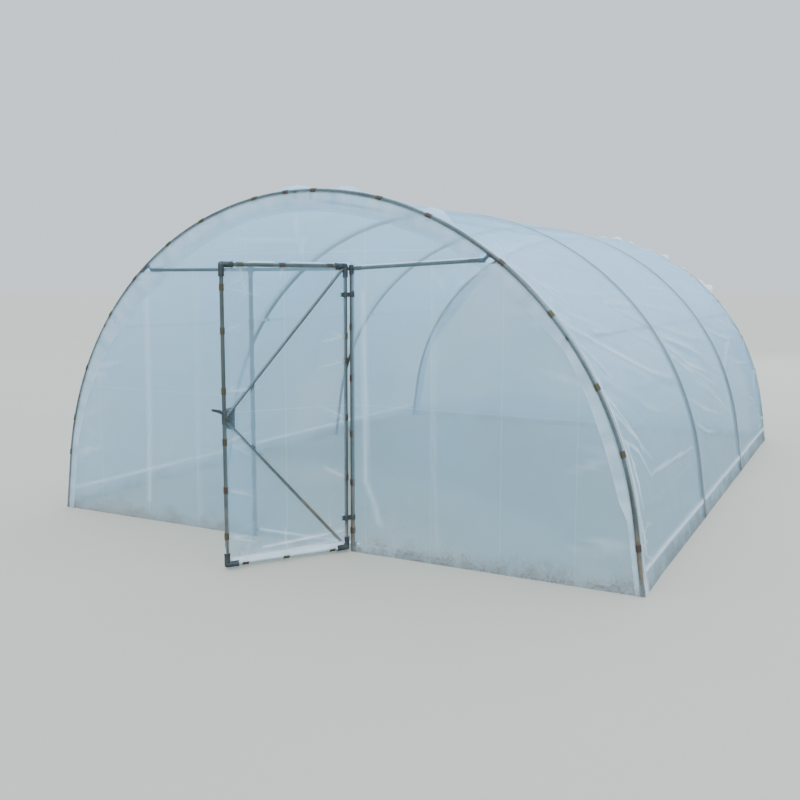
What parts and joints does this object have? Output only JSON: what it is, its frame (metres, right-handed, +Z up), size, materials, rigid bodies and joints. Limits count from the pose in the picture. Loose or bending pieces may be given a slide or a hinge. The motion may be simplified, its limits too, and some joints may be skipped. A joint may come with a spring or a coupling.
{
  "type": "polytunnel greenhouse",
  "caption": "Walk-in polytunnel greenhouse: bent tube hoops under a clear film cover, film gables and a braced tube door that swings open on the front.",
  "frame": {"origin": "on the ground, in the middle of the whole outline with the door leaf standing open", "axes": "+X to the right seen from the front gable, +Y from the front gable to the rear one, +Z up"},
  "size_m": [5.0838, 7.6551, 2.64],
  "materials": {
    "galvanised_tube": "dull zinc",
    "galvanised_fitting": "dark grey satin",
    "clip_plastic": "ochre, weathered",
    "cover_film": "clear, slightly milky"
  },
  "bodies": {
    "frame": {"crossbar_brackets": "galvanised_fitting", "crossbar_left": "galvanised_tube", "crossbar_right": "galvanised_tube", "door_frame_clamps": "galvanised_fitting", "door_header": "galvanised_tube", "door_sill": "galvanised_tube", "front_film_left": "cover_film", "front_film_right": "cover_film", "front_film_top": "cover_film", "front_hoop": "galvanised_tube", "front_hoop_clips": "clip_plastic", "hinge_post": "galvanised_tube", "hoop_clamps": "galvanised_fitting", "latch_post": "galvanised_tube", "left_crown_film": "cover_film", "left_purlin": "galvanised_tube", "left_shoulder_film": "cover_film", "left_side_film": "cover_film", "post_clips": "clip_plastic", "post_top_fittings": "galvanised_fitting", "rear_film": "cover_film", "rear_hoop": "galvanised_tube", "rear_hoop_clips": "clip_plastic", "ridge_purlin": "galvanised_tube", "right_crown_film": "cover_film", "right_purlin": "galvanised_tube", "right_shoulder_film": "cover_film", "right_side_film": "cover_film", "second_hoop": "galvanised_tube", "third_hoop": "galvanised_tube"},
    "door": {"bottom_rail": "galvanised_tube", "brace_gusset": "galvanised_fitting", "corner_fittings": "galvanised_fitting", "free_stile": "galvanised_tube", "hinge_clamps": "galvanised_fitting", "hinge_stile": "galvanised_tube", "latch_tail": "galvanised_fitting", "leaf_clips": "clip_plastic", "leaf_film": "cover_film", "lower_brace": "galvanised_tube", "top_rail": "galvanised_tube", "upper_brace": "galvanised_tube"}
  },
  "joints": [
    {"name": "door_swing", "type": "hinge", "parent": "frame", "child": "door", "pos_m": [0.4, -2.965, 0], "axis": [0, 0, 1], "range_deg": [-53.2, 65]}
  ]
}
